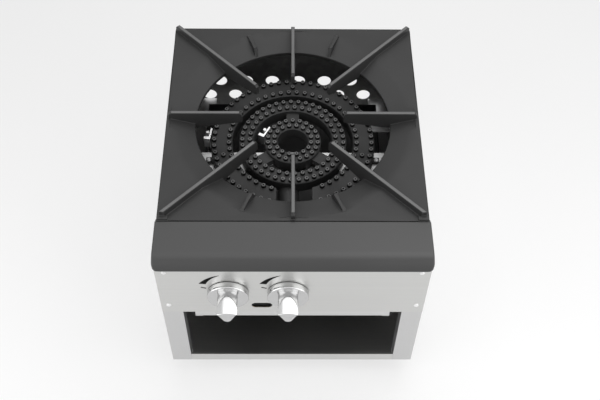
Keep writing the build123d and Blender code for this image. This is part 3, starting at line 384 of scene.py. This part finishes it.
def new_piece(name, points, faces, materials, body, tints=None):
    """A mesh object from arrays, riding on a body; tints holds each face's material number."""
    mesh = bpy.data.meshes.new(name)
    mesh.from_pydata(points.reshape(-1, 3).tolist(), [], faces.tolist())
    for material in materials:
        mesh.materials.append(material)
    if tints is not None:
        mesh.polygons.foreach_set("material_index", tints.astype(np.int32))
    work = bmesh.new()
    work.from_mesh(mesh)
    bmesh.ops.remove_doubles(work, verts=work.verts, dist=join_within)
    work.to_mesh(mesh)
    work.free()
    mesh.validate()
    piece = bpy.data.objects.new(name, mesh)
    bpy.context.scene.collection.objects.link(piece)
    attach(piece, body)
    return piece


def rounded_copy(name, new_name, body, material, width, sharp, lowest, shortest):
    """Stands for a CAD node: its loose triangles joined, and its edges above the sharp angle
    given a rounded bevel of that width where they are higher than lowest and not short; all
    shaded smooth between them.
    """
    work = bmesh.new()
    work.from_mesh(nodes[name].data)
    bmesh.ops.remove_doubles(work, verts=work.verts, dist=join_within)
    weight = work.edges.layers.float.new("bevel_weight_edge")
    for edge in work.edges:
        clear = edge.calc_face_angle(0.0) > radians(sharp) and edge.calc_length() > shortest
        high = min(edge.verts[0].co.z, edge.verts[1].co.z) > lowest
        edge[weight] = float(clear and high)
    mesh = bpy.data.meshes.new(new_name)
    work.to_mesh(mesh)
    work.free()
    mesh.materials.clear()
    mesh.materials.append(material)
    mesh.shade_smooth()
    mesh.set_sharp_from_angle(angle=radians(sharp))
    piece = bpy.data.objects.new(new_name, mesh)
    bpy.context.scene.collection.objects.link(piece)
    edges = piece.modifiers.new("Edges", "BEVEL")
    edges.width, edges.segments, edges.limit_method = width, 2, "WEIGHT"
    edges.use_clamp_overlap, edges.loop_slide = False, False
    normals = piece.modifiers.new("Normals", "WEIGHTED_NORMAL")
    normals.keep_sharp = True
    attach(piece, body)
    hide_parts(name)
    return piece


def cap_grid(sizes, corners=10):
    """One burner cap: (r cos a, r sin a, h) for a round of angles a and a profile of (r, h).

    The profile goes from the middle of the foot to its rim, climbs the nub's side, crosses the
    top and goes down into the port.
    """
    foot, port, top = sizes.cap_radius, sizes.port_radius, nub_height + sizes.cap_rise
    port_floor = top - 0.6 * MM
    profile = np.array([(0.0, 0.0), (foot, 0.0), (foot * 0.86, top * 0.80), (foot * 0.70, top),
                        (port, top), (port * 0.9, port_floor), (0.0, port_floor)])
    angle = np.arange(corners) * 2 * pi / corners
    radius, height = profile[:, :1], profile[:, 1:]
    points = np.stack([radius * np.cos(angle), radius * np.sin(angle),
                       height + 0 * angle], axis=-1)
    faces = sheet_of_quads(len(profile), corners)
    # material 0 (foot and side) carries painted shade, 1 (shoulder and top) a painted highlight, 2 (the
    # port) painted shade
    tints = np.repeat([0, 0, 1, 1, 2, 2], corners)
    return points, faces, tints


def grip_outline(half, crown, shoulder, tip, tip_half):
    """Closed outline of the grip's section as columns (x, z), seen from the front.

    An arc over the crown through both shoulders, its radius (half^2 + rise^2) / (2 rise), a
    straight flank down to the tip, a parabola across it and the other flank. Three rounds of
    averaging each point with its neighbours soften the corners.
    """
    rise = crown - shoulder
    radius = (half ** 2 + rise ** 2) / (2 * rise)
    start = np.arcsin((shoulder - crown + radius) / radius)
    arc = np.linspace(start, pi - start, 40)
    across = np.linspace(-tip_half, tip_half, 9)
    low = -tip + 2.0 * MM * (across / tip_half) ** 2
    down = np.linspace(0, 1, 14)[1:-1]
    flank_x, flank_z = half + (tip_half - half) * down, shoulder + (low[0] - shoulder) * down
    x = np.concatenate([radius * np.cos(arc), -flank_x, across, flank_x[::-1]])
    z = np.concatenate([crown - radius + radius * np.sin(arc), flank_z, low, flank_z[::-1]])
    outline = np.stack([x, z], axis=-1)
    for _ in range(3):
        outline = (np.roll(outline, 1, 0) + 2 * outline + np.roll(outline, -1, 0)) / 4
    return outline


def knob_grid(sizes, low, high, bore):
    """One knob between the corners low and high: rows from the bore out and over to the front.

    A row is a closed outline at a distance d in front of the knob's back. The skirt's rows are
    circles; on its face they run from the rim's circle to the grip's section, sunk beside the
    grip by depth s(v) s(u), s a smooth step; the grip's rows run evenly from the section at
    the skirt to the one at the front, cut off above a facet z = top(v) - x^2 / (2 R) that
    slopes down to the front, and the last rows shrink to a point.
    """
    back, reach, rim = high.y, high.y - low.y, (high.x - low.x) / 2
    edge, skirt = sizes.knob_edge, sizes.knob_skirt
    crown = sizes.grip_crown
    root_shoulder, root_tip, nose_shoulder = 7.0 * MM, 22.0 * MM, 13.0 * MM
    bore_depth, facet_radius = 24.0 * MM, 45.0 * MM
    root = grip_outline(sizes.grip_half, crown, root_shoulder, root_tip, sizes.tip_half)
    nose = grip_outline(sizes.grip_half, crown, nose_shoulder, sizes.grip_tip, sizes.tip_half)
    ray = root / np.linalg.norm(root, axis=1, keepdims=True)
    bend = np.linspace(0, pi / 2, 6)
    rows = [(ray * radius, depth) for radius, depth in
            [(0.0, bore_depth), (bore, bore_depth), (bore, 0.0), (rim - 0.5 * MM, 0.0), (rim, MM)]]
    rows += [(ray * (rim - edge + edge * cos(a)), skirt - edge + edge * sin(a)) for a in bend]
    upper = smooth_step((ray[:, 1] + 0.15) / 0.3)
    for v in np.linspace(0, 1, 12)[1:]:
        sunk = sizes.knob_dish * smooth_step(v) * upper
        rows.append((ray * (rim - edge) * (1 - v) + root * v, skirt - sunk))
    sunk = sizes.knob_dish * upper
    for v in np.linspace(0, 1, 24)[1:]:
        forward = (skirt - sunk) * (1 - v) + (reach - edge) * v
        section = root + (nose - root) * v
        top = crown + 0.5 * MM - (crown - sizes.grip_facet) * max(0.0, v - 0.1) / 0.9
        top = top - section[:, 0] ** 2 / (2 * facet_radius)
        rows.append((np.stack([section[:, 0], np.minimum(section[:, 1], top)], axis=-1), forward))
    nose = rows[-1][0]
    for a in bend[1:]:
        rows.append((nose * (1 - edge / sizes.grip_half * (1 - cos(a))), reach - edge + edge * sin(a)))
    inner = 1 - edge / sizes.grip_half
    rows += [(nose * inner * v, reach) for v in (0.66, 0.33, 0.0)]
    centre = ((low.x + high.x) / 2, (low.z + high.z) / 2)
    outline = np.stack([row for row, depth in rows])
    depth = np.stack([depth + 0 * root[:, 0] for row, depth in rows])
    points = np.stack([centre[0] + outline[..., 0], back - depth, centre[1] + outline[..., 1]],
                      axis=-1)
    return points, sheet_of_quads(*depth.shape)


def smooth_step(value):
    """0 below 0, 1 above 1, and 3 t^2 - 2 t^3 between."""
    value = np.clip(value, 0, 1)
    return value * value * (3 - 2 * value)


def ring_places(rows, gap=None):
    """Middles of the nubs, row by row: radius (cos a, sin a) at even angles a, less those in the gap."""
    places = []
    for radius, pitch in rows:
        count = round(2 * pi * radius / pitch)
        angle = 2 * pi * (np.arange(count) + 0.5) / count
        places.append(np.stack([radius * np.cos(angle), radius * np.sin(angle)], axis=-1))
    places = np.concatenate(places)
    if gap:
        places = places[(places[:, 1] > 0) | (places[:, 0] <= gap[0]) | (places[:, 0] >= gap[1])]
    return places


def wedge_mark(sizes, centre, y):
    """Printed wedge: points centre + r (cos a, sin a), a from 150 to 103 degrees.

    r runs from the outer radius inwards by a width that shrinks with a to a hair line, and the
    wide end is cut at a slant.
    """
    along, across = np.linspace(0, 1, 25)[:, None], np.linspace(0, 1, 3)[None, :]
    angle = np.radians(150 - 47 * along - 6 * across * (1 - along))
    width = sizes.mark_width * (1 - along) + 0.5 * MM
    return panel_grid(centre, y, sizes.mark_radius - width * across, angle)


def tick_mark(sizes, centre, y):
    """Printed tick: a short radial bar at 160 degrees."""
    inner_end = 38.5 * MM
    along, across = np.linspace(0, 1, 3)[:, None], np.linspace(0, 1, 2)[None, :]
    radius = inner_end + sizes.tick_length * along + 0 * across
    angle = radians(160) + (across - 0.5) * sizes.tick_width / radius
    return panel_grid(centre, y, radius, angle)


def panel_grid(centre, y, radius, angle):
    """Points of the panel's plane at radius and angle round a knob's axis, and their faces."""
    points = np.stack([centre[0] + radius * np.cos(angle), y + 0 * radius,
                       centre[1] + radius * np.sin(angle)], axis=-1)
    return points, sheet_of_quads(points.shape[0], points.shape[1], wrap=False)


# ------------------------------------------------------------------ operators
class RangeOperator(bpy.types.Operator):
    """Shared settings of the range's operators."""
    bl_options = {"REGISTER", "UNDO"}

    @property
    def sizes(self):
        return bpy.context.scene.range_sizes

    @property
    def colours(self):
        return bpy.context.scene.range_colours


class RANGE_OT_cabinet(RangeOperator):
    """Finish the sheet metal of the cabinet"""
    bl_idname = "range.cabinet"
    bl_label = "Cabinet sheets"

    def execute(self, context):
        tint = self.colours
        coat(brushed_sheet("panel_steel", tint.stainless, "X", 0.36), "control_panel")
        coat(brushed_sheet("shelf_steel", tint.stainless, "X", 0.30), "bottom_shelf")
        coat(brushed_sheet("side_steel", tint.bright_steel, "Y", 0.36), "right_side_panel",
             "left_side_panel")
        coat(brushed_sheet("bar_steel", tint.bright_steel, "X", 0.38), "burner_cross_bar",
             "mixer_cross_bar", "ring_rest")
        coat(zinc_sheet("zinc_sheet", tint.zinc), "back_panel")
        coat(brushed_sheet("runner_steel", tint.bright_steel, "Y", 0.30), "right_tray_runner",
             "left_tray_runner")
        coat(zinc_sheet("zinc_strap", tint.zinc), "front_cross_rail", "manifold_hangers",
             "leg_sockets")
        coat(shaded_tray_metal("tray_steel", tint.tray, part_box("crumb_tray")[0].y), "crumb_tray")
        enamel = enamel_sheet("ledge_enamel", tint.enamel)
        rounded_copy("front_ledge", "rounded_ledge", "cabinet", enamel,
                     self.sizes.ledge_round, 30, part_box("front_ledge")[1].z - 0.5 * MM, 3.0 * MM)
        return {"FINISHED"}


class RANGE_OT_castings(RangeOperator):
    """Finish the grate and the burner castings"""
    bl_idname = "range.castings"
    bl_label = "Castings"

    def execute(self, context):
        tint = self.colours
        # the last number is where the painted highlight on the grate's top faces begins
        iron = casting("grate_iron", tint.grate, 0.06, 0.42, 0.32, grate_high.z - 0.6 * MM)
        rounded_copy("top_grate", "rounded_grate", "grate", iron,
                     self.sizes.grate_round, 30, grate_low.z + 1.0 * MM, 3.0 * MM)
        coat(casting("burner_iron", tint.burner, 0.12, 0.50, 0.35), "outer_burner", "inner_burner")
        return {"FINISHED"}


class RANGE_OT_gas_train(RangeOperator):
    """Finish the pipes, valves, pilots and fittings"""
    bl_idname = "range.gas_train"
    bl_label = "Gas train and fittings"

    def execute(self, context):
        tint = self.colours
        thread_length = 19.0 * MM
        thread_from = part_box("supply_pipe")[1].y - thread_length
        coat(black_pipe("pipe_lacquer", tint.pipe, thread_from), "supply_pipe", "gas_manifold",
             "manifold_plug", "manifold_elbow")
        coat(machined_metal("valve_brass", tint.brass), "outer_gas_valve", "inner_gas_valve",
             "orifice_spuds", "outer_pilot_valve", "inner_pilot_valve", "outer_pilot_screw",
             "inner_pilot_screw")
        coat(machined_metal("turned_steel", (0.55, 0.55, 0.56)), "outer_valve_stem",
             "inner_valve_stem", "front_left_foot", "front_right_foot", "rear_left_foot",
             "rear_right_foot")
        # painted shade: the pilot tubes are darkened to 0.34, for their run in shade under the grate
        coat(machined_metal("pilot_tube_painted_shade", (0.34, 0.34, 0.35), 0.42), "outer_pilot_tube",
             "inner_pilot_tube")
        coat(brushed_sheet("pilot_steel", (0.90, 0.90, 0.90), "Y", 0.42), "outer_pilot_burner",
             "inner_pilot_burner", "outer_pilot_bracket", "inner_pilot_bracket")
        coat(zinc_sheet("shutter_zinc", (0.45, 0.46, 0.47)), "outer_air_shutter",
             "inner_air_shutter")
        coat(machined_metal("screw_zinc", (0.92, 0.92, 0.92), 0.45, 0.3),
             *[name for name in nodes if name.endswith("_screws")])
        return {"FINISHED"}


class RANGE_OT_knobs(RangeOperator):
    """Finish the two control knobs"""
    bl_idname = "range.knobs"
    bl_label = "Knobs"

    def execute(self, context):
        chrome = polished_plate("knob_chrome", self.colours.chrome)
        for name in ("outer", "inner"):
            stem_low, stem_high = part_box(f"{name}_valve_stem")
            bore = (stem_high.x - stem_low.x) / 2 + 0.05 * MM
            points, faces = knob_grid(self.sizes, *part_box(f"{name}_knob"), bore)
            piece = new_piece(f"polished_{name}_knob", points, faces, [chrome],
                              f"{name}_control")
            piece.data.shade_smooth()
            piece.data.set_sharp_from_angle(angle=radians(40))
            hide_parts(f"{name}_knob")
        return {"FINISHED"}


class RANGE_OT_ports(RangeOperator):
    """Put a ported cap on every nub of the three burner rings"""
    bl_idname = "range.ports"
    bl_label = "Burner ports"

    inner_rows = [(34.7 * MM, 13.3 * MM), (46.8 * MM, 13.3 * MM), (80.2 * MM, 14.3 * MM),
                  (94.3 * MM, 14.3 * MM)]
    outer_rows = [(119.2 * MM, 15.6 * MM), (146.8 * MM, 15.6 * MM)]
    outer_gap = (-34.4 * MM, 39.4 * MM)
    single_radius = 133.0 * MM
    single_angles = (90.0, 196.0, 344.0)

    def execute(self, context):
        # painted shade: each nub's foot and side get the burner colour darkened to 0.2
        iron = casting("cap_side_painted_shade", scaled(self.colours.burner, 0.2), 0.05, 0.6, 0.10)
        # painted highlight: each nub's shoulder and top get the burner colour lightened 4.5 times
        painted_lit_top = casting("cap_top_painted_highlight", scaled(self.colours.burner, 4.5), 0.03, 0.36, 0.6)
        # painted shade: the port's wall and floor get the black print ink
        painted_shade = flat_ink("port_painted_shade", self.colours.print_ink)
        angles = np.radians(self.single_angles)
        single = self.single_radius * np.stack([np.cos(angles), np.sin(angles)], axis=-1)
        outer = np.concatenate([ring_places(self.outer_rows, self.outer_gap), single])
        for name, places in (("inner_burner_caps", ring_places(self.inner_rows)),
                             ("outer_burner_caps", outer)):
            cap, faces, tints = cap_grid(self.sizes)
            count = cap.shape[0] * cap.shape[1]
            centre = np.column_stack([places + burner_axis, np.full(len(places), ring_top)])
            points = centre[:, None, :] + cap.reshape(1, -1, 3)
            every = faces[None] + count * np.arange(len(places))[:, None, None]
            new_piece(name, points, every.reshape(-1, 4), [iron, painted_lit_top, painted_shade], "cabinet",
                      np.tile(tints, len(places)))
        return {"FINISHED"}


class RANGE_OT_marks(RangeOperator):
    """Print the wedge and the tick beside each knob"""
    bl_idname = "range.marks"
    bl_label = "Control marks"

    def execute(self, context):
        ink = flat_ink("mark_ink", self.colours.print_ink)
        for name in ("outer", "inner"):
            low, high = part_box(name + "_knob")
            centre = ((low.x + high.x) / 2, (low.z + high.z) / 2)
            for kind, shape in (("wedge", wedge_mark), ("tick", tick_mark)):
                points, faces = shape(self.sizes, centre, panel_face - mark_clearance)
                piece = new_piece(f"{name}_{kind}_mark", points, faces, [ink], "cabinet")
                film = piece.modifiers.new("Film", "SOLIDIFY")
                film.thickness = self.sizes.mark_film
                film.offset = 1.0
        return {"FINISHED"}


class RANGE_OT_stage(RangeOperator):
    """Set the floor, the lamps, the sky and the camera"""
    bl_idname = "range.stage"
    bl_label = "Stage"

    camera_place = (-7.59 * MM, -1059.70 * MM, 1674.12 * MM)
    camera_yaw, camera_pitch, camera_roll = 0.0210, 0.94311, 0.01954
    camera_lens, sensor_width, nearest_seen = 55.5, 36.0, 0.05
    floor_reach = 12.0
    floor_paint = (0.80, 0.80, 0.80)
    full_white_from, full_white_over = 1.0, 5.0
    lamp_place, lamp_target = (0.35, 0.45, 2.2), (0.35, 0.45, 0.0)
    near_place, near_target = (0.42, 0.0, 1.2), (0.42, 0.0, 0.0)
    right_place, left_place, fill_target = (1.3, -0.9, 0.9), (-1.3, -0.9, 0.9), (0.0, 0.0, 0.3)

    def execute(self, context):
        self.floor(context)
        self.lamps(context)
        self.sky(context)
        self.camera(context)
        context.scene.view_settings.view_transform = "Standard"
        return {"FINISHED"}

    def floor(self, context):
        """Large level sheet of one pale paint, on which the lamps cast the range's shadow.

        Camera, metal and glass see it alike: part of its own white, full far off, and part of
        its lit paint, which holds the shadow.
        """
        settings = context.scene.range_stage
        grid = np.linspace(-self.floor_reach, self.floor_reach, 3)
        x, y = np.meshgrid(grid, grid)
        points = np.stack([x, y, 0 * x], axis=-1)
        mesh = bpy.data.meshes.new("floor")
        mesh.from_pydata(points.reshape(-1, 3).tolist(), [],
                         sheet_of_quads(3, 3, wrap=False).tolist())
        sheet = bpy.data.objects.new("floor", mesh)
        context.scene.collection.objects.link(sheet)
        shop = Workshop("floor_paint")
        matte = shop.node("BsdfDiffuse", values={"Color": rgba(self.floor_paint)})
        lit = rgba(scaled(self.floor_paint, settings.floor_lit))
        lit = shop.node("BsdfDiffuse", values={"Color": lit})
        distance = shop.node("VectorMath", {"operation": "LENGTH"}, {0: shop.place}, output=1)
        far = distance.above(self.full_white_from, self.full_white_over)
        white = shop.blend(far, (settings.floor_white,) * 3, (1.0, 1.0, 1.0))
        white = shop.node("Emission", values={"Color": white})
        white = shop.node("AddShader", values={0: white, 1: lit})
        seen = shop.node("LightPath", output="Is Camera Ray")
        mirrored = shop.node("LightPath", output="Is Glossy Ray")
        through = shop.node("LightPath", output="Is Transmission Ray")
        mixed = shop.node("MixShader", values={0: seen + mirrored + through, 1: matte, 2: white})
        shop.node("OutputMaterial", values={"Surface": mixed})
        shop.material.cycles.emission_sampling = "NONE"
        mesh.materials.append(shop.material)

    def lamps(self, context):
        """A large square lamp overhead, a weak one nearer on the right, two low soft ones in front."""
        settings = context.scene.range_stage
        for name, power, width, place, target in (
                ("lamp", settings.lamp, settings.lamp_width, self.lamp_place, self.lamp_target),
                ("near_lamp", settings.near_lamp, settings.near_width, self.near_place,
                 self.near_target),
                ("right_fill", settings.fill, settings.fill_width, self.right_place,
                 self.fill_target),
                ("left_fill", settings.fill, settings.fill_width, self.left_place,
                 self.fill_target)):
            data = bpy.data.lights.new(name, "AREA")
            data.energy, data.size = power, width
            lamp = bpy.data.objects.new(name, data)
            lamp.location = place
            lamp.rotation_euler = (Vector(target) - Vector(place)).to_track_quat("-Z", "Y").to_euler()
            context.scene.collection.objects.link(lamp)

    def sky(self, context):
        """Even weak light all round, which camera, metal and glass see as white."""
        world = bpy.data.worlds.new("studio")
        shop = Workshop("studio", world)
        seen = shop.node("LightPath", output="Is Camera Ray")
        mirrored = shop.node("LightPath", output="Is Glossy Ray")
        through = shop.node("LightPath", output="Is Transmission Ray")
        sky = context.scene.range_stage.sky
        strength = (seen + mirrored + through).spread(sky, 1.0)
        studio = shop.node("Background", values={"Color": (1.0, 1.0, 1.0, 1.0),
                                                 "Strength": strength})
        shop.node("OutputWorld", values={"Surface": studio})
        world.cycles.sampling_method = "NONE"
        context.scene.world = world

    def camera(self, context):
        """Camera from its place, its heading, how far it looks down, and its tilt."""
        yaw, pitch, roll = self.camera_yaw, self.camera_pitch, self.camera_roll
        ahead = Vector((sin(yaw) * cos(pitch), cos(yaw) * cos(pitch), -sin(pitch)))
        right = Vector((cos(yaw), -sin(yaw), 0.0))
        up = right.cross(ahead)
        right_now = cos(roll) * right + sin(roll) * up
        up_now = cos(roll) * up - sin(roll) * right
        turn = Matrix((right_now, up_now, -ahead)).transposed().to_4x4()
        data = bpy.data.cameras.new("camera")
        data.lens, data.sensor_width, data.clip_start = (self.camera_lens, self.sensor_width,
                                                         self.nearest_seen)
        camera = bpy.data.objects.new("camera", data)
        camera.matrix_world = Matrix.Translation(self.camera_place) @ turn
        context.scene.collection.objects.link(camera)
        context.scene.camera = camera


class RANGE_PT_sidebar(bpy.types.Panel):
    """Buttons and settings of the range"""
    bl_label = "Stock Pot Range"
    bl_space_type = "VIEW_3D"
    bl_region_type = "UI"
    bl_category = "Range"

    def draw(self, context):
        for operator in OPERATORS:
            self.layout.operator(operator.bl_idname)
        for group in (context.scene.range_sizes, context.scene.range_colours,
                      context.scene.range_stage):
            box = self.layout.box()
            for name in group.__annotations__:
                box.prop(group, name)


OPERATORS = (RANGE_OT_cabinet, RANGE_OT_castings, RANGE_OT_gas_train, RANGE_OT_knobs,
             RANGE_OT_ports, RANGE_OT_marks, RANGE_OT_stage)
CLASSES = (RangeSizes, RangeColours, RangeStage) + OPERATORS + (RANGE_PT_sidebar,)


def register():
    """Add the classes and the scene's settings."""
    for cls in CLASSES:
        bpy.utils.register_class(cls)
    bpy.types.Scene.range_sizes = PointerProperty(type=RangeSizes)
    bpy.types.Scene.range_colours = PointerProperty(type=RangeColours)
    bpy.types.Scene.range_stage = PointerProperty(type=RangeStage)


def unregister():
    """Take them away again."""
    del bpy.types.Scene.range_sizes, bpy.types.Scene.range_colours, bpy.types.Scene.range_stage
    for cls in reversed(CLASSES):
        bpy.utils.unregister_class(cls)


def main():
    """Make every piece and the stage."""
    register()
    for operator in OPERATORS:
        area, action = operator.bl_idname.split(".")
        getattr(getattr(bpy.ops, area), action)()


if __name__ == "__main__":
    main()
